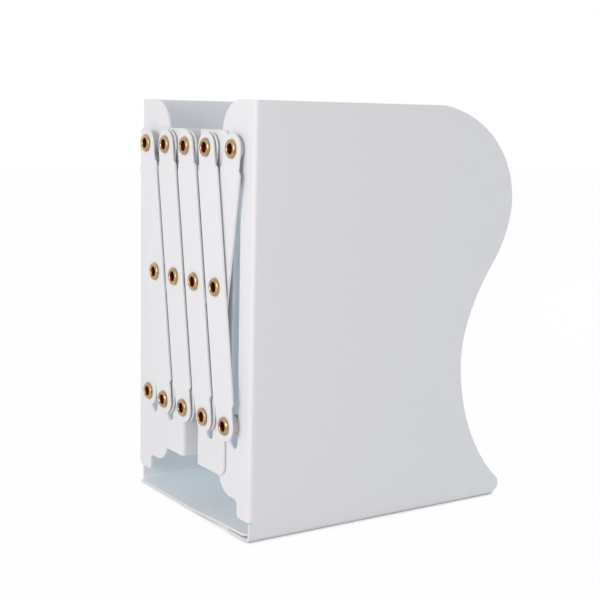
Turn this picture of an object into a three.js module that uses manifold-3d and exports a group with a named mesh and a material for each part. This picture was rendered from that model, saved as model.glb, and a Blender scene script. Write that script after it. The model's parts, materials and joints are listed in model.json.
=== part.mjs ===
import * as THREE from 'three';
import { mergeVertices } from 'three/addons/utils/BufferGeometryUtils.js';
import Module from 'manifold-3d';

// Expanding bookend. Two end panels and two dividers of bent white sheet are joined at the back by
// lazy tongs: four crossed pairs of flat bars on five columns of eyelets. The upper eyelets turn in
// round holes. The lower ones slide up the slots of the panels as the bookend is pulled open.
// Millimetres: X across the bays, Y from the tongs to the open side, Z up. The model is folded.

// Driving sizes
const foldedWidth = 106.9;
const panelHeight = 190;
const panelDepth = 145.5;
const panelSheet = 1.2;
const barSheet = 0.9;
const washerSheet = 0.4;
const seatGap = 0.25;
const leftInset = 17.2;
const rightInset = 13.3;
const columnCount = 5;
const lowerPivotHeight = 50;
const upperPivotDrop = 7.5;
const openedPivotDrop = 29.1;

// Dividers hang clear of the base
const dividerFoot = 24.7;
const dividerTopDrop = 13;
const dividerDepth = 125;
const dividerLowerRound = 4.5;
const dividerUpperRound = 3;

// Bars, eyelets and the rings round their shanks
const barSpacing = 2.4;
const barShoulder = 1.5;
const shoulderReach = 8;
const shankDiameter = 4.8;
const eyeletWall = 0.3;
const headDiameter = 8.2;
const headSheet = 1.1;
const headRoll = 0.45;
const headFlare = 0.8;
const tailDiameter = 8.8;
const tailSheet = 0.4;
const ringDiameter = 10.6;
const footRingDiameter = 8.8;
const flangeClearance = 1.3;

// Bends, slots and the lower corner of the end flanges
const bendInside = 0.9;
const slotLowerSpare = 8;
const slotUpperSpare = 13;
const tipHeight = 8.8;
const tipRound = 2.2;
const rightTipWidth = 10.5;
const leftTipWidth = 13;
const stepHeight = 16.5;
const stepRound = 2.5;
const flangeLowerRound = 10.5;
const flangeUpperRound = 14;
const bendCornerRound = 3;
const reliefWidth = 4.5;

// Base plates: the left one rides over the right one
const rightBaseWidth = 20;
const baseCornerRound = 3;
const riseStart = 54;
const riseLead = 1;
const tipLift = 2;
const baseEndClearance = 1;
const rightFootFront = 0.3;
const footSlit = 0.5;

// Modelling allowances
const overrun = 1;
const weldDistance = 1e-4;
const curveSteps = 8;
const roundSteps = 18;

// The S-shaped front edge runs from the top edge down to the foot in four cubics. Each row holds two
// control points and an end point, as shares of the depth and of the height.
const topEdgeShare = 0.696;
const frontEdgeShares = [
  [[0.881, 0.981], [1, 0.879], [1, 0.767]],
  [[1, 0.709], [0.963, 0.647], [0.924, 0.607]],
  [[0.866, 0.545], [0.807, 0.453], [0.807, 0.37]],
  [[0.807, 0.256], [0.866, 0.127], [0.992, 0.042]],
];
const footControlShare = [1.002, 0.014];
const footEndShare = 0.98;

// Places that follow from the driving sizes
const bendOutside = bendInside + panelSheet;
const dividerTop = panelHeight - dividerTopDrop;
const upperPivotHeight = dividerTop - upperPivotDrop;
const pivotDrop = upperPivotHeight - lowerPivotHeight;
const columnPitch = (foldedWidth - leftInset - rightInset) / (columnCount - 1);
const barLength = Math.hypot(pivotDrop, columnPitch);
const foldedAngle = Math.atan2(columnPitch, pivotDrop);
const pivotLift = pivotDrop - openedPivotDrop;
const barWidth = columnPitch * Math.cos(foldedAngle) - barSpacing;
const holeDiameter = shankDiameter + 2 * seatGap;
const endFlangeReach = columnPitch - tailDiameter / 2 - flangeClearance;
const dividerHalfWidth = columnPitch - ringDiameter / 2 - flangeClearance;
const slotBottom = lowerPivotHeight - slotLowerSpare;
const slotTop = lowerPivotHeight + pivotLift + slotUpperSpare;

// The stack along Y, from the end flanges (front face at zero) towards the eyelet heads
const dividerBack = -seatGap;
const dividerFront = dividerBack - panelSheet;
const backBarBack = dividerFront - washerSheet - 2 * seatGap;
const backBarFront = backBarBack - barSheet;
const frontBarBack = backBarFront - washerSheet - 2 * seatGap;
const frontBarFront = frontBarBack - barSheet;
const stackFront = frontBarFront - seatGap - headSheet;

const columnPlace = (column) => leftInset + (column - 1) * columnPitch;

const wasm = await Module();
wasm.setup();

function solid(geometry) {
  const bare = geometry.clone();
  bare.deleteAttribute('normal');
  bare.deleteAttribute('uv');
  const welded = mergeVertices(bare, weldDistance);
  return new wasm.Manifold(new wasm.Mesh({
    numProp: 3,
    vertProperties: new Float32Array(welded.attributes.position.array),
    triVerts: new Uint32Array(welded.index.array),
  }));
}

function surface(body) {
  const mesh = body.getMesh();
  const geometry = new THREE.BufferGeometry();
  geometry.setAttribute('position', new THREE.BufferAttribute(mesh.vertProperties, 3));
  geometry.setIndex(new THREE.BufferAttribute(mesh.triVerts, 1));
  geometry.computeVertexNormals();
  return geometry;
}

function mirrored(geometry) {
  const flipped = geometry.clone().scale(-1, 1, 1);
  const corners = flipped.index.array;
  for (let first = 0; first < corners.length; first += 3) {
    [corners[first], corners[first + 1]] = [corners[first + 1], corners[first]];
  }
  flipped.computeVertexNormals();
  return flipped;
}

// An outline becomes a prism along one axis. The outline's own axes are Y and Z for a prism along X,
// X and Z for one along Y, and X and Y for one along Z.
function prism(outline, axis, start, end) {
  const geometry = new THREE.ExtrudeGeometry(outline, {
    depth: end - start,
    bevelEnabled: false,
    curveSegments: curveSteps,
  });
  const [x, y, z] = [new THREE.Vector3(1, 0, 0), new THREE.Vector3(0, 1, 0), new THREE.Vector3(0, 0, 1)];
  const turn = new THREE.Matrix4();
  if (axis === 'x') turn.makeBasis(y, z, x).setPosition(start, 0, 0);
  if (axis === 'y') turn.makeBasis(x, z, y.clone().negate()).setPosition(0, end, 0);
  if (axis === 'z') turn.makeBasis(x, y, z).setPosition(0, 0, start);
  return solid(geometry.applyMatrix4(turn));
}

function ring(innerRadius, outerRadius, start, end) {
  const section = [[innerRadius, start], [outerRadius, start], [outerRadius, end], [innerRadius, end]];
  return revolve(section);
}

function revolve(section) {
  const points = [...section, section[0]].map(([radius, along]) => new THREE.Vector2(radius, along));
  return surface(solid(new THREE.LatheGeometry(points, roundSteps)));
}

function circle(radius, x, y) {
  const path = new THREE.Shape();
  path.absarc(x, y, radius, 0, 2 * Math.PI, false);
  return path;
}

function slot(radius, x, low, high) {
  const path = new THREE.Shape();
  path.absarc(x, low, radius, Math.PI, 2 * Math.PI, false);
  path.absarc(x, high, radius, 0, Math.PI, false);
  return path;
}

// Bent sheet seen along its bend: the upright leg lies along the second axis at zero, and the bend
// leads into the leg along the first axis, which follows the given rise of its outer face.
function bentSection(uprightEnd, rise) {
  const section = new THREE.Shape();
  section.moveTo(0, uprightEnd);
  section.lineTo(0, bendOutside);
  section.absarc(bendOutside, bendOutside, bendOutside, Math.PI, 1.5 * Math.PI, false);
  for (const [along, lift] of rise) section.lineTo(along, lift);
  for (const [along, lift] of [...rise].reverse()) section.lineTo(along, lift + panelSheet);
  section.absarc(bendOutside, bendOutside, bendInside, 1.5 * Math.PI, Math.PI, true);
  section.lineTo(panelSheet, uprightEnd);
  return section;
}

// The upright plate with its S-shaped front edge, in the plane across the bays
function uprightPlate(depth, bottom, top, cut) {
  const height = top - bottom;
  const place = ([deep, high]) => [deep * depth, bottom + high * height];
  const outline = new THREE.Shape();
  outline.moveTo(bendOutside, cut);
  outline.lineTo(bendOutside, top);
  outline.lineTo(topEdgeShare * depth, top);
  for (const [first, second, end] of frontEdgeShares) {
    outline.bezierCurveTo(...place(first), ...place(second), ...place(end));
  }
  outline.quadraticCurveTo(...place(footControlShare), footEndShare * depth, cut);
  return prism(outline, 'x', 0, panelSheet);
}

function endFlangeOutline(width, tipWidth, relief) {
  const outline = new THREE.Shape();
  const tipEnd = tipWidth - tipRound;
  const stepStart = tipWidth + stepRound;
  if (relief > 0) {
    outline.moveTo(0, tipHeight + tipRound);
    outline.absarc(tipRound, tipHeight + tipRound, tipRound, Math.PI, 1.5 * Math.PI, false);
  } else {
    outline.moveTo(0, tipHeight);
  }
  outline.lineTo(tipEnd, tipHeight);
  outline.absarc(tipEnd, tipHeight + tipRound, tipRound, -0.5 * Math.PI, 0, false);
  outline.absarc(stepStart, stepHeight - stepRound, stepRound, Math.PI, 0.5 * Math.PI, true);
  outline.absarc(width - flangeLowerRound, stepHeight + flangeLowerRound, flangeLowerRound,
    -0.5 * Math.PI, 0, false);
  outline.absarc(width - flangeUpperRound, panelHeight - flangeUpperRound, flangeUpperRound,
    0, 0.5 * Math.PI, false);
  if (relief > 0) {
    outline.lineTo(relief, panelHeight);
    outline.lineTo(relief, dividerTop);
    outline.absarc(bendCornerRound, dividerTop - bendCornerRound, bendCornerRound,
      0.5 * Math.PI, Math.PI, false);
  } else {
    outline.lineTo(0, panelHeight);
  }
  return outline;
}

function dividerFlangeOutline(width) {
  const outline = new THREE.Shape();
  outline.moveTo(0, dividerFoot);
  outline.lineTo(width - dividerLowerRound, dividerFoot);
  outline.absarc(width - dividerLowerRound, dividerFoot + dividerLowerRound, dividerLowerRound,
    -0.5 * Math.PI, 0, false);
  outline.absarc(width - dividerUpperRound, dividerTop - dividerUpperRound, dividerUpperRound,
    0, 0.5 * Math.PI, false);
  outline.lineTo(0, dividerTop);
  return outline;
}

// The flange with its bend, its round upper hole and its long slot
function flange(outline, width, pivotPlace, bottom, top) {
  const section = bentSection(bendOutside + overrun, [[width + overrun, 0]]);
  const blank = prism(section, 'z', bottom, top);
  const cut = [circle(holeDiameter / 2, pivotPlace, upperPivotHeight),
    slot(holeDiameter / 2, pivotPlace, slotBottom, slotTop)];
  let sheet = blank.intersect(prism(outline, 'y', -overrun, bendOutside + 2 * overrun));
  for (const hole of cut) sheet = sheet.subtract(prism(hole, 'y', -overrun, panelSheet + overrun));
  return sheet;
}

// The base plate turns in from the foot of an end panel, with a relief cut under the flange
function basePlate(rise, footFront) {
  const depth = footEndShare * panelDepth;
  const width = rise[rise.length - 1][0];
  const plan = new THREE.Shape();
  plan.moveTo(0, footFront);
  plan.lineTo(bendOutside + bendInside, footFront);
  plan.lineTo(bendOutside + bendInside, 0);
  plan.lineTo(width - baseCornerRound, 0);
  plan.absarc(width - baseCornerRound, baseCornerRound, baseCornerRound, -0.5 * Math.PI, 0, false);
  plan.absarc(width - baseCornerRound, depth - baseCornerRound, baseCornerRound, 0, 0.5 * Math.PI, false);
  plan.lineTo(0, depth);
  const blank = prism(bentSection(bendOutside + overrun, rise), 'y', -overrun, depth + overrun);
  return blank.intersect(prism(plan, 'z', -overrun, bendOutside + 2 * overrun + tipLift));
}

function endPanel(pivotPlace, tipWidth, relief, footFront, rise) {
  const width = pivotPlace + endFlangeReach;
  const outline = endFlangeOutline(width, tipWidth, relief);
  let panel = uprightPlate(panelDepth, 0, panelHeight, bendOutside)
    .add(flange(outline, width, pivotPlace, 0, panelHeight))
    .add(basePlate(rise, footFront));
  if (footFront < bendOutside) panel = panel.add(footCorner(footFront));
  return surface(panel);
}

// Where the plate runs on below the flange, a slit parts the two
function footCorner(footFront) {
  const outline = new THREE.Shape();
  outline.moveTo(footFront, bendOutside);
  outline.lineTo(bendOutside, bendOutside);
  outline.lineTo(bendOutside, tipHeight - footSlit);
  outline.lineTo(footFront, tipHeight - footSlit);
  return prism(outline, 'x', 0, panelSheet);
}

function divider() {
  const width = 2 * dividerHalfWidth;
  const outline = dividerFlangeOutline(width);
  const panel = uprightPlate(dividerDepth, dividerFoot, dividerTop, dividerFoot)
    .add(flange(outline, width, dividerHalfWidth, dividerFoot, dividerTop));
  return surface(panel);
}

// A bar of the tongs, upright about its middle pivot, with narrower rounded heads
function bar() {
  const half = barLength / 2;
  const side = barWidth / 2;
  const headRadius = side - barShoulder;
  const neck = half - shoulderReach;
  const outline = new THREE.Shape();
  outline.moveTo(-side, -neck + barShoulder);
  outline.lineTo(-headRadius, -neck);
  outline.absarc(0, -half, headRadius, Math.PI, 2 * Math.PI, false);
  outline.lineTo(headRadius, -neck);
  outline.lineTo(side, -neck + barShoulder);
  outline.lineTo(side, neck - barShoulder);
  outline.lineTo(headRadius, neck);
  outline.absarc(0, half, headRadius, 0, Math.PI, false);
  outline.lineTo(-headRadius, neck);
  outline.lineTo(-side, neck - barShoulder);
  for (const place of [-half, 0, half]) outline.holes.push(circle(holeDiameter / 2, 0, place));
  return surface(prism(outline, 'y', 0, barSheet));
}

// A rolled eyelet that clamps everything between two faces of the stack
function eyelet(front, back) {
  const boreRadius = shankDiameter / 2 - eyeletWall;
  const headBack = front - seatGap;
  const headFront = headBack - headSheet;
  const tailFront = back + seatGap;
  const tailBack = tailFront + tailSheet;
  return revolve([
    [boreRadius, headFront + headFlare],
    [boreRadius + headFlare, headFront],
    [headDiameter / 2 - 2 * headRoll, headFront],
    [headDiameter / 2, headFront + headRoll],
    [headDiameter / 2, headBack],
    [shankDiameter / 2, headBack],
    [shankDiameter / 2, tailFront],
    [tailDiameter / 2, tailFront],
    [tailDiameter / 2, tailBack],
    [boreRadius, tailBack],
  ]);
}

const paint = new THREE.MeshStandardMaterial({ color: 0xe7e7eb, roughness: 0.5, metalness: 0 });
const brass = new THREE.MeshStandardMaterial({ color: 0x9c7638, roughness: 0.35, metalness: 1 });
const nylon = new THREE.MeshStandardMaterial({ color: 0xc9c9cc, roughness: 0.6, metalness: 0 });

const bookend = new THREE.Group();
const frame = new THREE.Group();
frame.position.set(-foldedWidth / 2, -(panelDepth + stackFront) / 2, 0);
bookend.add(frame);

function place(name, geometry, material, x, y, z, angle = 0) {
  const mesh = new THREE.Mesh(geometry, material.clone());
  mesh.name = name;
  mesh.position.set(x, y, z);
  mesh.rotation.y = angle;
  frame.add(mesh);
}

// End panels. The left base rises gently over the right one.
const riseEnd = foldedWidth - rightBaseWidth - riseLead;
const leftBaseWidth = foldedWidth - bendOutside - baseEndClearance;
const leftRise = [[riseStart, 0], [riseEnd, panelSheet + seatGap], [leftBaseWidth, tipLift]];
const leftPanel = endPanel(leftInset, leftTipWidth, reliefWidth, bendOutside, leftRise);
place('left_end_panel', leftPanel, paint, 0, 0, 0);
const rightPanel = mirrored(endPanel(rightInset, rightTipWidth, 0, rightFootFront, [[rightBaseWidth, 0]]));
place('right_end_panel', rightPanel, paint, foldedWidth, 0, 0);

// Dividers on the second and fourth columns, with their plates turned towards each other
const dividerGeometry = divider();
const leftDividerPlace = columnPlace(2) + dividerHalfWidth;
place('left_divider', mirrored(dividerGeometry), paint, leftDividerPlace, dividerFront, 0);
place('right_divider', dividerGeometry, paint, columnPlace(4) - dividerHalfWidth, dividerFront, 0);

// Bars and the eyelets at their crossings
const barGeometry = bar();
const crossingHeight = (upperPivotHeight + lowerPivotHeight) / 2;
const thinRing = (face) => ring(holeDiameter / 2, ringDiameter / 2, face + seatGap, face + seatGap + washerSheet);
for (let unit = 1; unit < columnCount; unit += 1) {
  const crossing = columnPlace(unit) + columnPitch / 2;
  place(`front_bar_${unit}`, barGeometry, paint, crossing, frontBarFront, crossingHeight, -foldedAngle);
  place(`back_bar_${unit}`, barGeometry, paint, crossing, backBarFront, crossingHeight, foldedAngle);
  place(`centre_eyelet_${unit}`, eyelet(frontBarFront, backBarBack), brass, crossing, 0, crossingHeight);
  place(`centre_layer_washer_${unit}`, thinRing(frontBarBack), nylon, crossing, 0, crossingHeight);
}

// Eyelets of the columns. The end columns hold one bar each way on a standoff, the others hold both.
const rows = { top: upperPivotHeight, bottom: lowerPivotHeight };
for (const [row, height] of Object.entries(rows)) {
  for (let column = 1; column <= columnCount; column += 1) {
    const x = columnPlace(column);
    const isEnd = column === 1 || column === columnCount;
    const holdsDivider = column === 2 || column === 4;
    if (isEnd) {
      const holdsFrontBar = (row === 'top') === (column === 1);
      const barFront = holdsFrontBar ? frontBarFront : backBarFront;
      const outerRadius = (row === 'top' ? ringDiameter : footRingDiameter) / 2;
      const standoff = ring(holeDiameter / 2, outerRadius, barFront + barSheet + seatGap, -seatGap);
      place(`${row}_eyelet_${column}`, eyelet(barFront, panelSheet), brass, x, 0, height);
      place(`${row}_standoff_${column}`, standoff, nylon, x, 0, height);
    } else {
      const clampBack = holdsDivider ? dividerBack : backBarBack;
      place(`${row}_eyelet_${column}`, eyelet(frontBarFront, clampBack), brass, x, 0, height);
      place(`${row}_layer_washer_${column}`, thinRing(frontBarBack), nylon, x, 0, height);
      if (holdsDivider) place(`${row}_washer_${column}`, thinRing(backBarBack), nylon, x, 0, height);
    }
  }
}

export default bookend;
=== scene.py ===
import json
import math

import bmesh
import bpy
from mathutils import Matrix, Vector
from mathutils.geometry import delaunay_2d_cdt


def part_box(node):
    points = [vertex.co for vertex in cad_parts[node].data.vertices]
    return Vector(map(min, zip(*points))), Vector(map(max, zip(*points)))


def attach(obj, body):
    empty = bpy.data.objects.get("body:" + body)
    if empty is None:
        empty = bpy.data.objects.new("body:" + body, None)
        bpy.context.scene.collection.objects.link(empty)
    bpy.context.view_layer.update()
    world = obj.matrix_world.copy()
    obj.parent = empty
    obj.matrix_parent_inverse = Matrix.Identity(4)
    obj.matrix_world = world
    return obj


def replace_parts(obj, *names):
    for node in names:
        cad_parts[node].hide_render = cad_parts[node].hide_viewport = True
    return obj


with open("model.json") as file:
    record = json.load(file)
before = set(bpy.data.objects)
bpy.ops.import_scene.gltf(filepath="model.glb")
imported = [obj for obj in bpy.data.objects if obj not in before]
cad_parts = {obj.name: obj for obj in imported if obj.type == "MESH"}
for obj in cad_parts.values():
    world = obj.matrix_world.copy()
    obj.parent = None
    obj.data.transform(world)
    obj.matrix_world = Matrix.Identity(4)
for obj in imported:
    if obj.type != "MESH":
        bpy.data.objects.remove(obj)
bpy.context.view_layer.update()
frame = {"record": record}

# Sizes are in millimetres. X starts at the left panel's outer face and Y at the end
# flanges' face, and the frame's origin lies this far in from both.
mm = 0.001
originX, originY = 53.45, 69.55

# Pivots of the lazy tongs, which the holes and slots of the panels follow
firstColumn, columnPitch = 17.2, 19.1
topPivot, lowerPivot = 169.5, 50
foldedWidth = 106.9


# Camera at the photograph's viewing angle
viewpoint = {
    "place": (0.4840, -0.33175, 0.1847),
    "lens": 72.8,
    "sensor": 36,
    "nearest": 0.01,
    "yaw": 56.373,
    "pitch": 8.723,
    "roll": 1.2985,
}


def makeCamera(settings):
    yaw, pitch, roll = (math.radians(settings[name]) for name in ("yaw", "pitch", "roll"))
    forward = Vector((
        -math.sin(yaw) * math.cos(pitch),
        math.cos(yaw) * math.cos(pitch),
        -math.sin(pitch),
    ))
    right = Vector((math.cos(yaw), math.sin(yaw), 0))
    up = right.cross(forward)
    sideways = math.cos(roll) * right + math.sin(roll) * up
    upwards = -math.sin(roll) * right + math.cos(roll) * up
    data = bpy.data.cameras.new("photoCamera")
    data.lens = settings["lens"]
    data.sensor_width = settings["sensor"]
    data.clip_start = settings["nearest"]
    camera = bpy.data.objects.new("photoCamera", data)
    turn = Matrix((sideways, upwards, -forward)).transposed().to_4x4()
    camera.matrix_world = Matrix.Translation(settings["place"]) @ turn
    bpy.context.scene.collection.objects.link(camera)
    bpy.context.scene.camera = camera


makeCamera(viewpoint)


# Node materials: a white powder coat, a brass, a dark brown that paints the shade in the
# eyelets' bores, and a grey nylon
powderCoat = {
    "colour": (0.83, 0.825, 0.835, 1),
    "roughness": 0.48,
    "specular": 0.42,
    "peel": {"scale": 900, "detail": 2, "roughness": 0.5},
    "grain": {"scale": 5200, "detail": 2, "roughness": 0.6},
    "grainShare": 0.25,
    "depth": 0.012,
}
antiqueBrass = {
    "colour": (0.53, 0.38, 0.185, 1),
    "shade": (0.32, 0.215, 0.095, 1),
    "shadeEnd": 0.36,  # noise values up to this are the shade, and from the next the colour
    "colourStart": 0.62,
    "roughness": 0.3,
    "lacquer": 0.5,
    "lacquerRoughness": 0.12,
    "patina": {"scale": 650, "detail": 4, "roughness": 0.6},
    "scratch": {"scale": 2400, "detail": 3, "roughness": 0.6},
    "depth": 0.008,
}
# Painted shade: a dark red-brown metal on the bore wall and the inner flare stands in for the
# shade inside the eyelets' holes
darkBore = {"colour": (0.24, 0.037, 0.005, 1), "metallic": 1, "roughness": 0.5}
greyNylon = {
    "colour": (0.56, 0.57, 0.58, 1),
    "roughness": 0.5,
    "grain": {"scale": 2600, "detail": 2, "roughness": 0.5},
    "depth": 0.006,
}


def newMaterial(name):
    material = bpy.data.materials.new(name)
    material.use_nodes = True
    nodes = material.node_tree.nodes
    return material, nodes, material.node_tree.links, nodes["Principled BSDF"]


def addNoise(nodes, links, place, settings):
    noise = nodes.new("ShaderNodeTexNoise")
    noise.inputs["Scale"].default_value = settings["scale"]
    noise.inputs["Detail"].default_value = settings["detail"]
    noise.inputs["Roughness"].default_value = settings["roughness"]
    links.new(place.outputs["Object"], noise.inputs["Vector"])
    return noise.outputs["Fac"]


def addBump(nodes, links, height, shader, depth):
    bump = nodes.new("ShaderNodeBump")
    bump.inputs["Strength"].default_value = 1
    bump.inputs["Distance"].default_value = depth * mm
    links.new(height, bump.inputs["Height"])
    links.new(bump.outputs["Normal"], shader.inputs["Normal"])


def makePowderCoat(settings):
    material, nodes, links, shader = newMaterial("powderCoat")
    shader.inputs["Base Color"].default_value = settings["colour"]
    shader.inputs["Roughness"].default_value = settings["roughness"]
    shader.inputs["Specular IOR Level"].default_value = settings["specular"]
    place = nodes.new("ShaderNodeTexCoord")
    peel = addNoise(nodes, links, place, settings["peel"])
    grain = addNoise(nodes, links, place, settings["grain"])
    mix = nodes.new("ShaderNodeMix")
    mix.inputs["Factor"].default_value = settings["grainShare"]
    links.new(peel, mix.inputs["A"])
    links.new(grain, mix.inputs["B"])
    addBump(nodes, links, mix.outputs["Result"], shader, settings["depth"])
    return material


def makeBrass(settings):
    material, nodes, links, shader = newMaterial("antiqueBrass")
    shader.inputs["Metallic"].default_value = 1
    shader.inputs["Roughness"].default_value = settings["roughness"]
    shader.inputs["Coat Weight"].default_value = settings["lacquer"]
    shader.inputs["Coat Roughness"].default_value = settings["lacquerRoughness"]
    place = nodes.new("ShaderNodeTexCoord")
    patina = addNoise(nodes, links, place, settings["patina"])
    ramp = nodes.new("ShaderNodeValToRGB")
    dark, light = ramp.color_ramp.elements
    dark.position = settings["shadeEnd"]
    dark.color = settings["shade"]
    light.position = settings["colourStart"]
    light.color = settings["colour"]
    links.new(patina, ramp.inputs["Fac"])
    links.new(ramp.outputs["Color"], shader.inputs["Base Color"])
    scratch = addNoise(nodes, links, place, settings["scratch"])
    addBump(nodes, links, scratch, shader, settings["depth"])
    return material


def makePaintedBoreShade(settings):
    material, _, _, shader = newMaterial("darkBore")
    shader.inputs["Metallic"].default_value = settings["metallic"]
    shader.inputs["Base Color"].default_value = settings["colour"]
    shader.inputs["Roughness"].default_value = settings["roughness"]
    return material


def makeNylon(settings):
    material, nodes, links, shader = newMaterial("greyNylon")
    shader.inputs["Base Color"].default_value = settings["colour"]
    shader.inputs["Roughness"].default_value = settings["roughness"]
    place = nodes.new("ShaderNodeTexCoord")
    grain = addNoise(nodes, links, place, settings["grain"])
    addBump(nodes, links, grain, shader, settings["depth"])
    return material


coatMaterial = makePowderCoat(powderCoat)
brassMaterial = makeBrass(antiqueBrass)
boreShadeMaterial = makePaintedBoreShade(darkBore)
nylonMaterial = makeNylon(greyNylon)
print("materials made")


# Outlines are lists of points in millimetres
leastStep = 0.02
weldReach = 1e-5


def arcPoints(centre, radius, start, end, steps):
    turn = [math.radians(start + (end - start) * step / steps) for step in range(steps + 1)]
    return [(centre[0] + radius * math.cos(a), centre[1] + radius * math.sin(a)) for a in turn]


def ellipsePoints(centre, across, along, start, end, steps):
    unit = arcPoints((0, 0), 1, start, end, steps)
    return [(centre[0] + across * x, centre[1] + along * y) for x, y in unit]


def bezierPoints(first, second, third, last, steps):
    corners = (first, second, third, last)
    points = []
    for step in range(1, steps + 1):
        t = step / steps
        weights = ((1 - t) ** 3, 3 * t * (1 - t) ** 2, 3 * t * t * (1 - t), t ** 3)
        points.append(tuple(sum(w * c[k] for w, c in zip(weights, corners)) for k in (0, 1)))
    return points


def withoutRepeats(points):
    kept = []
    for point in points:
        if not kept or math.dist(point, kept[-1]) > leastStep:
            kept.append(point)
    if math.dist(kept[0], kept[-1]) < leastStep:
        kept.pop()
    return kept


def isInside(point, loops):
    across, up = point
    crossings = 0
    for loop in loops:
        for (x0, y0), (x1, y1) in zip(loop, loop[1:] + loop[:1]):
            if (y0 > up) != (y1 > up) and across < x0 + (x1 - x0) * (up - y0) / (y1 - y0):
                crossings += 1
    return crossings % 2 == 1


# A flat blank with its holes cut and its bend lines scored, as triangles
def cutBlank(outline, holes, creases):
    loops = [withoutRepeats(loop) for loop in (outline, *holes)]
    points, edges = [], []
    for loop in loops:
        start = len(points)
        points += [Vector(point) for point in loop]
        edges += [(start + k, start + (k + 1) % len(loop)) for k in range(len(loop))]
    for crease in creases:
        edges.append((len(points), len(points) + 1))
        points += [Vector(end) for end in crease]
    flatPoints, _, triangles, *_ = delaunay_2d_cdt(points, edges, [], 0, weldReach)
    kept = []
    for triangle in triangles:
        centre = sum((flatPoints[k] for k in triangle), Vector((0, 0))) / 3
        if isInside(centre, loops):
            kept.append(triangle)
    return flatPoints, kept


# Sheet metal: a middle surface that is thickened, with a round along its coated edges
sheetFinish = {"flatAngle": 0.5, "sharpAngle": 40, "roundSteps": 3}


def sheetObject(name, points, faces, sheet, edgeRound):
    mesh = bpy.data.meshes.new(name)
    mesh.from_pydata([tuple(point) for point in points], [], faces)
    work = bmesh.new()
    work.from_mesh(mesh)
    loose = [vertex for vertex in work.verts if not vertex.link_faces]
    bmesh.ops.delete(work, geom=loose, context="VERTS")
    flat = math.radians(sheetFinish["flatAngle"])
    bmesh.ops.dissolve_limit(work, angle_limit=flat, verts=work.verts, edges=work.edges)
    bmesh.ops.recalc_face_normals(work, faces=work.faces)
    work.to_mesh(mesh)
    work.free()
    mesh.materials.append(coatMaterial)
    piece = bpy.data.objects.new(name, mesh)
    bpy.context.scene.collection.objects.link(piece)
    thicken = piece.modifiers.new("sheet", "SOLIDIFY")
    thicken.thickness = sheet * mm
    thicken.offset = 0
    thicken.use_even_offset = True
    soften = piece.modifiers.new("coatedEdge", "BEVEL")
    soften.width = edgeRound * mm
    soften.segments = sheetFinish["roundSteps"]
    soften.limit_method = "ANGLE"
    soften.angle_limit = math.radians(sheetFinish["sharpAngle"])
    soften.use_clamp_overlap = False
    soften.harden_normals = True
    mesh.shade_smooth()
    applyModifiers(piece)
    return piece


def applyModifiers(piece):
    graph = bpy.context.evaluated_depsgraph_get()
    finished = bpy.data.meshes.new_from_object(piece.evaluated_get(graph))
    rough = piece.data
    piece.modifiers.clear()
    piece.data = finished
    finished.name = piece.name
    bpy.data.meshes.remove(rough)


# Panels. A blank's first coordinate runs back from the flange bend, its second one up.
panelSizes = {
    "height": 190,
    "depth": 145.5,
    "dividerTop": 177,
    "sheet": 1.2,
    "bendInside": 0.9,
    "bendSteps": 8,
    "edgeRound": 0.3,
    "baseCorner": 3,
    "cornerSteps": 8,
    "footSlit": 0.5,  # between the base and the flange's tip
    "foldMargin": 0.1,
    "pastEdge": 4,  # bend lines are scored this far past the blank
    "topEdgeShare": 0.696,
    "footEndShare": 0.98,
    "curveSteps": 16,
    "footSteps": 10,
}
frontEdgeShares = [
    [(0.881, 0.981), (1, 0.879), (1, 0.767)],
    [(1, 0.709), (0.963, 0.647), (0.924, 0.607)],
    [(0.866, 0.545), (0.807, 0.453), (0.807, 0.37)],
    [(0.807, 0.256), (0.866, 0.127), (0.992, 0.042)],
]
footControlShare = (1.002, 0.014)
slotSizes = {"width": 5.3, "bottom": 42, "top": 153.4, "endSteps": 20}
flangeSizes = {
    "tipHeight": 8.8,
    "tipRound": 2.2,
    "stepHeight": 16.5,
    "stepRound": 2.5,
    "tipSteps": 8,
    "lowerRound": 10.5,
    "lowerSteps": 18,
    "upperRound": 14,
    "upperSteps": 20,
    "relief": 4.5,
    "reliefRound": 6,
    "bendTipRound": 4.5,
    "bendNotch": 0.5,
    "bendRoundSteps": 10,
}
bendOutside = panelSizes["bendInside"] + panelSizes["sheet"]
bendMiddle = panelSizes["bendInside"] + panelSizes["sheet"] / 2
bendLength = math.pi / 2 * bendMiddle
bendSteps = panelSizes["bendSteps"]
bendShifts = [-bendLength * step / bendSteps for step in range(bendSteps + 1)]


# Where a point of the flange, given across it, lies on the blank
def flangeShift(across):
    if across < bendOutside:
        return -bendLength * across / bendOutside
    return -bendLength - (across - bendOutside)


# The front edge from the top of the plate to its foot, in blank coordinates
def frontEdge(depth, bottom, top, cut):
    height = top - bottom

    def place(share):
        return share[0] * depth - bendOutside, bottom + share[1] * height

    points = [(panelSizes["topEdgeShare"] * depth - bendOutside, top)]
    for first, second, last in frontEdgeShares:
        curve = (points[-1], place(first), place(second), place(last))
        points += bezierPoints(*curve, panelSizes["curveSteps"])
    foot = (panelSizes["footEndShare"] * depth - bendOutside, cut)
    bend = place(footControlShare)  # of a quadratic curve, here written as a cubic one
    last = points[-1]
    first = tuple(last[k] + 2 / 3 * (bend[k] - last[k]) for k in (0, 1))
    second = tuple(foot[k] + 2 / 3 * (bend[k] - foot[k]) for k in (0, 1))
    return points + bezierPoints(last, first, second, foot, panelSizes["footSteps"])


# The hole for the top eyelet and the slot for the lower one
def pivotHoles(across):
    radius, steps = slotSizes["width"] / 2, slotSizes["endSteps"]
    hole = arcPoints((across, topPivot), radius, 0, 360, 2 * steps)
    slot = arcPoints((across, slotSizes["bottom"]), radius, 180, 360, steps)
    slot += arcPoints((across, slotSizes["top"]), radius, 0, 180, steps)
    return [[(flangeShift(x), z) for x, z in path] for path in (hole, slot)]


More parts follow.
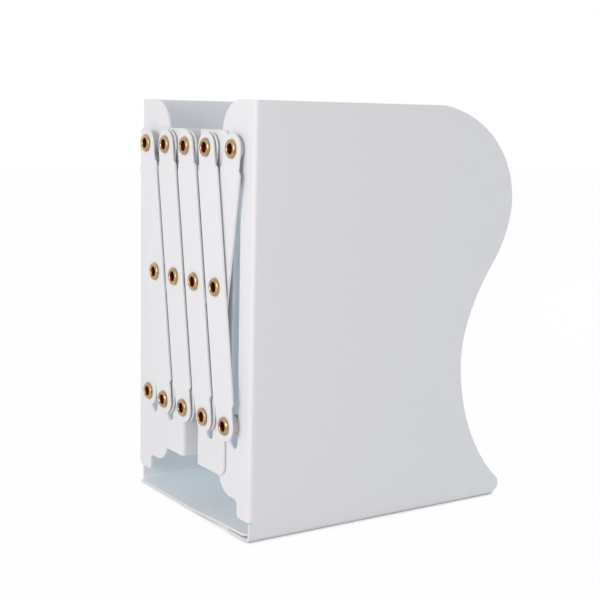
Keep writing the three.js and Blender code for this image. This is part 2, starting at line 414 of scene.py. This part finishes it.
# The round at an end of the left panel's bend, from the plate's edge to the flange's edge
def bendCorner(radius, level, side, reach):
    start = math.degrees(math.acos(1 - flangeSizes["bendNotch"] / radius))
    end = math.degrees(math.acos(1 - reach / radius)) if reach else 90
    steps = flangeSizes["bendRoundSteps"]
    rounded = arcPoints((radius, 0), radius, 180 + start, 180 + end, steps)
    return [(x, level + side * (radius + z)) for x, z in [(0, rounded[0][1]), *rounded]]


def endFlangePoints(width, tipWidth, hasRelief):
    sizes = flangeSizes
    tip, step, steps = sizes["tipRound"], sizes["stepRound"], sizes["tipSteps"]
    lower, upper = sizes["lowerRound"], sizes["upperRound"]
    foot, shelf, top = sizes["tipHeight"], sizes["stepHeight"], panelSizes["height"]
    points = bendCorner(sizes["bendTipRound"], foot, 1, 0) if hasRelief else [(0, foot)]
    points += arcPoints((tipWidth - tip, foot + tip), tip, 270, 360, steps)
    points += arcPoints((tipWidth + step, shelf - step), step, 180, 90, steps)
    points += arcPoints((width - lower, shelf + lower), lower, 270, 360, sizes["lowerSteps"])
    points += arcPoints((width - upper, top - upper), upper, 0, 90, sizes["upperSteps"])
    if hasRelief:
        relief, level = sizes["relief"], panelSizes["dividerTop"]
        points.append((relief, top))
        points += bendCorner(sizes["reliefRound"], level, -1, relief)[::-1]
    return [(flangeShift(x), z) for x, z in points]


# Folds a blank: the flange round the upright bend and the base round the foot bend
def foldBlank(points, rise):
    flatBelow = flangeSizes["tipHeight"] - panelSizes["foldMargin"] if rise else -math.inf
    folded = []
    for back, up in points:
        x, y, z = panelSizes["sheet"] / 2, bendOutside + back, up
        if rise and up < bendOutside:
            x, z = roundBend(bendOutside - up)
            z += riseAt(x, rise)
        elif back < 0 and up >= flatBelow:
            x, y = roundBend(-back)
        folded.append((x, y, z))
    return folded


# A length past the plate's edge becomes a place on the bend or on the leg after it
def roundBend(length):
    turn = min(length, bendLength) / bendMiddle
    along = bendOutside - bendMiddle * math.cos(turn) + max(length - bendLength, 0)
    return along, bendOutside - bendMiddle * math.sin(turn)


def riseAt(x, rise):
    for (x0, z0), (x1, z1) in zip(rise, rise[1:]):
        if x <= x1:
            return z0 + (z1 - z0) * max(0, x - x0) / (x1 - x0)
    return rise[-1][1]


def placePanel(name, body, folded, faces, mirror, shiftX, shiftY):
    side = -1 if mirror else 1
    placed = []
    for x, y, z in folded:
        point = (side * x + shiftX - originX, y + shiftY - originY, z)
        placed.append([value * mm for value in point])
    piece = sheetObject(name, placed, faces, panelSizes["sheet"], panelSizes["edgeRound"])
    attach(piece, body)
    return piece


# End panels. The left base rises gently over the right one.
leftPanel = {
    "pivot": firstColumn,
    "flangeWidth": 30.6,
    "tipWidth": 13,
    "relief": True,
    "footFront": 2.1,
    "rise": [(2.1, 0), (54, 0), (85.9, 1.45), (103.8, 2)],
}
rightPanel = {
    "pivot": 13.3,
    "flangeWidth": 26.7,
    "tipWidth": 10.5,
    "relief": False,
    "footFront": 0.3,
    "rise": [(2.1, 0), (20, 0)],
}


def endPanel(name, body, sizes, mirror):
    height, depth = panelSizes["height"], panelSizes["depth"]
    corner, cornerSteps = panelSizes["baseCorner"], panelSizes["cornerSteps"]
    slit, pastEdge = panelSizes["footSlit"], panelSizes["pastEdge"]
    foot = panelSizes["footEndShare"] * depth
    far = sizes["rise"][-1][0] - corner

    def baseLevel(across):
        return bendOutside + flangeShift(across)

    outline = [(0, height)] + frontEdge(depth, 0, height, bendOutside)
    plan = arcPoints((far, foot - corner), corner, 90, 0, cornerSteps)
    plan += arcPoints((far, corner), corner, 0, -90, cornerSteps)
    outline += [(y - bendOutside, baseLevel(x)) for x, y in plan]
    inner = baseLevel(bendOutside + panelSizes["bendInside"])
    footEdge = sizes["footFront"] - bendOutside
    outline += [(-bendOutside, inner), (footEdge, inner)]
    if footEdge < 0:
        slitLevel = flangeSizes["tipHeight"] - slit
        outline += [(footEdge, slitLevel), (0, slitLevel)]
    outline += endFlangePoints(sizes["flangeWidth"], sizes["tipWidth"], sizes["relief"])
    low, high = flangeSizes["tipHeight"] - slit / 2, height + pastEdge
    creases = [((shift, low), (shift, high)) for shift in bendShifts]
    levels = [bendOutside + shift for shift in bendShifts]
    levels += [baseLevel(across) for across, _ in sizes["rise"][1:-1]]
    near, past = -bendOutside - pastEdge, depth + pastEdge
    creases += [((near, level), (past, level)) for level in levels]
    points, faces = cutBlank(outline, pivotHoles(sizes["pivot"]), creases)
    folded = foldBlank(points, sizes["rise"])
    return placePanel(name, body, folded, faces, mirror, foldedWidth if mirror else 0, 0)


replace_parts(endPanel("leftEndPanel", "left_end", leftPanel, False), "left_end_panel")
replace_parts(endPanel("rightEndPanel", "right_end", rightPanel, True), "right_end_panel")
print("end panels made")


# Dividers, which hang from the second and fourth columns
dividerPlaces = {
    "leftDivider": {
        "body": "divider_left",
        "node": "left_divider",
        "plate": 48.8,
        "mirror": True,
    },
    "rightDivider": {
        "body": "divider_right",
        "node": "right_divider",
        "plate": 62.0,
        "mirror": False,
    },
}
dividerSizes = {
    "foot": 24.7,
    "depth": 125,
    "flangeWidth": 25,
    "front": -1.45,
    "lowerRound": 4.5,
    "lowerSteps": 14,
    "upperRound": 3,
    "upperSteps": 8,
}


def divider(name, place):
    sizes, top, pastEdge = dividerSizes, panelSizes["dividerTop"], panelSizes["pastEdge"]
    foot, width = sizes["foot"], sizes["flangeWidth"]
    lower, upper = sizes["lowerRound"], sizes["upperRound"]
    flange = arcPoints((width - lower, foot + lower), lower, 270, 360, sizes["lowerSteps"])
    flange += arcPoints((width - upper, top - upper), upper, 0, 90, sizes["upperSteps"])
    outline = frontEdge(sizes["depth"], foot, top, foot)
    outline += [(flangeShift(x), z) for x, z in flange]
    low, high = foot - pastEdge, top + pastEdge
    creases = [((shift, low), (shift, high)) for shift in bendShifts]
    points, faces = cutBlank(outline, pivotHoles(width / 2), creases)
    folded = foldBlank(points, None)
    plate, front = place["plate"], sizes["front"]
    return placePanel(name, place["body"], folded, faces, place["mirror"], plate, front)


for name, place in dividerPlaces.items():
    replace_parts(divider(name, place), place["node"])
print("dividers made")


# Bars of the lazy tongs: front ones lean to the left, back ones to the right
barSizes = {
    "length": 121.017,
    "side": 8.23,
    "shoulder": 1.5,
    "shoulderReach": 8,
    "endSteps": 28,
    "hole": 5.3,
    "holeSteps": 36,
    "sheet": 0.9,
    "edgeRound": 0.24,
    "lean": 9.081,
    "frontLayer": -4.6,
    "backLayer": -2.8,
}


def bar(name, body, centre, layer, lean):
    half, side, step = barSizes["length"] / 2, barSizes["side"], barSizes["shoulder"]
    head, neck = side - step, half - barSizes["shoulderReach"]
    endSteps, holeSteps = barSizes["endSteps"], barSizes["holeSteps"]
    outline = [(-side, -neck + step), (-head, -neck)]
    outline += arcPoints((0, -half), head, 180, 360, endSteps)
    outline += [(head, -neck), (side, -neck + step), (side, neck - step), (head, neck)]
    outline += arcPoints((0, half), head, 0, 180, endSteps)
    outline += [(-head, neck), (-side, neck - step)]
    radius = barSizes["hole"] / 2
    holes = [arcPoints((0, z), radius, 0, 360, holeSteps) for z in (-half, 0, half)]
    points, faces = cutBlank(outline, holes, [])
    turn = Matrix.Rotation(math.radians(lean), 3, "Y")
    middle = Vector((centre - originX, layer - originY, (topPivot + lowerPivot) / 2))
    placed = [(turn @ Vector((x, 0, z)) + middle) * mm for x, z in points]
    piece = sheetObject(name, placed, faces, barSizes["sheet"], barSizes["edgeRound"])
    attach(piece, body)
    return piece


columns = {number: firstColumn + columnPitch * (number - 1) for number in range(1, 6)}
frontLayer, backLayer, lean = (barSizes[name] for name in ("frontLayer", "backLayer", "lean"))
for unit in range(1, 5):
    crossing = (columns[unit] + columns[unit + 1]) / 2
    frontBar = bar(f"frontBar{unit}", f"front_{unit}", crossing, frontLayer, -lean)
    backBar = bar(f"backBar{unit}", f"back_{unit}", crossing, backLayer, lean)
    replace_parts(frontBar, f"front_bar_{unit}")
    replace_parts(backBar, f"back_bar_{unit}")
print("bars made")


# Turned parts: a profile of (radius, along) points swept round a line that runs back.
# The faces after the profile points listed in dark get the second material, which on the
# eyelets is the bore's painted shade.
turnSteps = 64


def turnedPart(name, profile, centre, materials, dark):
    mesh = bpy.data.meshes.new(name)
    work = bmesh.new()
    rings = []
    for radius, along in profile:
        ringPoints = []
        for step in range(turnSteps):
            angle = 2 * math.pi * step / turnSteps
            x = centre[0] - originX + radius * math.cos(angle)
            z = centre[1] + radius * math.sin(angle)
            ringPoints.append(work.verts.new((x * mm, (along - originY) * mm, z * mm)))
        rings.append(ringPoints)
    for index, near in enumerate(rings):
        far = rings[(index + 1) % len(rings)]
        for step in range(turnSteps):
            after = (step + 1) % turnSteps
            face = work.faces.new((near[step], near[after], far[after], far[step]))
            face.smooth = True
            face.material_index = 1 if index in dark else 0
    bmesh.ops.recalc_face_normals(work, faces=work.faces)
    work.to_mesh(mesh)
    work.free()
    for material in materials:
        mesh.materials.append(material)
    piece = bpy.data.objects.new(name, mesh)
    bpy.context.scene.collection.objects.link(piece)
    return piece


# Rolled eyelets: a domed head in front, a shank, and a flatter roll behind
eyeletSizes = {
    "bore": 2.1,
    "shank": 2.4,
    "headRadius": 4.1,
    "headCrest": 3.05,
    "headHeight": 1.1,
    "headSteps": 12,
    "rim": 0.1,  # the dome starts this far above the seat
    "rimInset": 0.12,
    "flareDepth": 1.25,
    "flareSteps": 10,
    "darkSteps": 5,  # of the flare, from the bore
    "tailRadius": 4.4,
    "tailCrest": 3.1,
    "tailHeight": 0.4,
    "curlDepth": 0.7,
    "tailSteps": 8,
    "seatGap": 0.25,
}


def eyelet(name, body, node, centre, front, back):
    sizes = eyeletSizes
    bore, shank, rim = sizes["bore"], sizes["shank"], sizes["rim"]
    crest, radius, height = sizes["headCrest"], sizes["headRadius"], sizes["headHeight"]
    headBack = front - sizes["seatGap"]
    headFront = headBack - height
    deep, steps = sizes["flareDepth"], sizes["flareSteps"]
    profile = ellipsePoints((crest, headFront + deep), crest - bore, deep, 180, 270, steps)
    domeCentre, steps = (crest, headBack - rim), sizes["headSteps"]
    profile += ellipsePoints(domeCentre, radius - crest, height - rim, 270, 360, steps)[1:]
    profile.append((radius - sizes["rimInset"], headBack))

    crest, radius, height = sizes["tailCrest"], sizes["tailRadius"], sizes["tailHeight"]
    tailFront = back + sizes["seatGap"]
    tailBack = tailFront + height
    profile += [(shank, headBack), (shank, tailFront)]
    deep, steps = sizes["curlDepth"], sizes["tailSteps"]
    profile += ellipsePoints((crest, tailFront), radius - crest, height, 0, 90, steps)
    curl = ellipsePoints((crest, tailBack - deep), crest - bore, deep, 90, 180, steps)
    profile += curl[1:]

    # The bore wall and the first flare faces take the painted shade of the hole
    dark = {len(profile) - 1, *range(sizes["darkSteps"])}
    piece = turnedPart(name, profile, centre, [brassMaterial, boreShadeMaterial], dark)
    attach(piece, body)
    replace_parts(piece, node)


# Nylon rings: thin ones between the layers and long ones behind the end columns
ringSizes = {"inner": 2.65, "outer": 5.3, "footOuter": 4.4, "edgeRound": 0.12, "edgeSteps": 4}


def ring(name, body, node, centre, front, back):
    inner, soft, steps = ringSizes["inner"], ringSizes["edgeRound"], ringSizes["edgeSteps"]
    outer = ringSizes["footOuter" if node.startswith("bottom_standoff") else "outer"]
    profile = arcPoints((outer - soft, front + soft), soft, 270, 360, steps)
    profile += arcPoints((outer - soft, back - soft), soft, 0, 90, steps)
    profile += arcPoints((inner + soft, back - soft), soft, 90, 180, steps)
    profile += arcPoints((inner + soft, front + soft), soft, 180, 270, steps)
    piece = turnedPart(name, profile, centre, [nylonMaterial], set())
    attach(piece, body)
    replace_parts(piece, node)


# Each eyelet and ring stands where the frame has its node, through the same layers
def layerSpan(node):
    low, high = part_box(node)
    return low.y / mm + originY, high.y / mm + originY


def nodeCentre(node):
    low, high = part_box(node)
    return (low.x + high.x) / 2 / mm + originX, (low.z + high.z) / 2 / mm


bodyNodes = frame["record"]["behaviour"]["bodies"]
bodyOf = {node: body for body, nodes in bodyNodes.items() for node in nodes}
for node, body in sorted(bodyOf.items()):
    low, high = layerSpan(node)
    words = node.split("_")
    name = words[0] + "".join(word.capitalize() for word in words[1:])
    if "eyelet" in words:
        front = low + eyeletSizes["headHeight"] + eyeletSizes["seatGap"]
        back = high - eyeletSizes["tailHeight"] - eyeletSizes["seatGap"]
        eyelet(name, body, node, nodeCentre(node), front, back)
    if "washer" in words or "standoff" in words:
        ring(name, body, node, nodeCentre(node), low, high)
print("eyelets and rings made")


# Stage: a pale floor, a white surround for the camera and soft studio light
stageLight = {
    "ambient": (0.602, 0.580, 0.583, 1),
    "ambientStrength": 1,
    "backdrop": (1, 1, 1, 1),
    "floorReach": 3,
    "floorLevel": -0.0002,
    "floorColour": (0.86, 0.87, 0.88, 1),
    "floorRoughness": 0.7,
    "floorSpecular": 0.2,
    "floorBlend": 0.97,
    "contactReach": 2.2,  # a painted contact shadow: the thin dark line where the object meets the floor
    "contactShare": 0.08,
    "aim": (0, 0, 0.09),
}
lamps = {
    "keyLamp": {
        "place": (0.32, -0.80, 0.30),
        "size": 0.35,
        "power": 2.5,
        "colour": (0.99, 0.98, 1),
    },
    "backLamp": {
        "place": (0.02, 1.1, 0.35),
        "size": 0.6,
        "power": 7.7,
        "colour": (0.54, 0.855, 1),
    },
}


# One for rays that show the backdrop: from the camera, in gloss and through glass
def seenRays(nodes, links):
    path = nodes.new("ShaderNodeLightPath")
    first = nodes.new("ShaderNodeMath")
    first.operation = "MAXIMUM"
    links.new(path.outputs["Is Camera Ray"], first.inputs[0])
    links.new(path.outputs["Is Glossy Ray"], first.inputs[1])
    second = nodes.new("ShaderNodeMath")
    second.operation = "MAXIMUM"
    links.new(first.outputs[0], second.inputs[0])
    links.new(path.outputs["Is Transmission Ray"], second.inputs[1])
    return second.outputs[0]


def makeWorld(settings):
    world = bpy.data.worlds.new("studio")
    bpy.context.scene.world = world
    world.use_nodes = True
    nodes, links = world.node_tree.nodes, world.node_tree.links
    ambient = nodes["Background"]
    ambient.inputs["Color"].default_value = settings["ambient"]
    ambient.inputs["Strength"].default_value = settings["ambientStrength"]
    backdrop = nodes.new("ShaderNodeBackground")
    backdrop.inputs["Color"].default_value = settings["backdrop"]
    mix = nodes.new("ShaderNodeMixShader")
    links.new(seenRays(nodes, links), mix.inputs[0])
    links.new(ambient.outputs[0], mix.inputs[1])
    links.new(backdrop.outputs[0], mix.inputs[2])
    links.new(mix.outputs[0], nodes["World Output"].inputs["Surface"])


def makeFloor(settings):
    mesh = bpy.data.meshes.new("studioFloor")
    reach, level = settings["floorReach"], settings["floorLevel"]
    sides = ((-1, -1), (1, -1), (1, 1), (-1, 1))
    mesh.from_pydata([(reach * x, reach * y, level) for x, y in sides], [], [(0, 1, 2, 3)])
    floor = bpy.data.objects.new("studioFloor", mesh)
    bpy.context.scene.collection.objects.link(floor)
    material, nodes, links, shader = newMaterial("paleFloor")
    shader.inputs["Base Color"].default_value = settings["floorColour"]
    shader.inputs["Roughness"].default_value = settings["floorRoughness"]
    shader.inputs["Specular IOR Level"].default_value = settings["floorSpecular"]
    glow = nodes.new("ShaderNodeEmission")
    glow.inputs["Color"].default_value = settings["backdrop"]
    # Painted contact shadow: ambient occlusion near the object lowers the white glow so the
    # darker floor shows
    contact = nodes.new("ShaderNodeAmbientOcclusion")
    contact.inputs["Distance"].default_value = settings["contactReach"] * mm
    blend = nodes.new("ShaderNodeMapRange")
    blend.inputs["To Min"].default_value = settings["contactShare"]
    blend.inputs["To Max"].default_value = settings["floorBlend"]
    links.new(contact.outputs["AO"], blend.inputs["Value"])
    share = nodes.new("ShaderNodeMath")
    share.operation = "MULTIPLY"
    links.new(blend.outputs["Result"], share.inputs[1])
    mix = nodes.new("ShaderNodeMixShader")
    links.new(seenRays(nodes, links), share.inputs[0])
    links.new(share.outputs[0], mix.inputs[0])
    links.new(shader.outputs[0], mix.inputs[1])
    links.new(glow.outputs[0], mix.inputs[2])
    links.new(mix.outputs[0], nodes["Material Output"].inputs["Surface"])
    mesh.materials.append(material)


def makeLamp(name, settings, aim):
    data = bpy.data.lights.new(name, "AREA")
    data.shape = "DISK"
    data.size = settings["size"]
    data.energy = settings["power"]
    data.color = settings["colour"]
    lamp = bpy.data.objects.new(name, data)
    lamp.location = settings["place"]
    lamp.rotation_mode = "QUATERNION"
    towards = Vector(aim) - Vector(settings["place"])
    lamp.rotation_quaternion = towards.to_track_quat("-Z", "Y")
    bpy.context.scene.collection.objects.link(lamp)


makeWorld(stageLight)
makeFloor(stageLight)
for name, settings in lamps.items():
    makeLamp(name, settings, stageLight["aim"])
bpy.context.scene.view_settings.view_transform = "Standard"
print("stage and lights made")
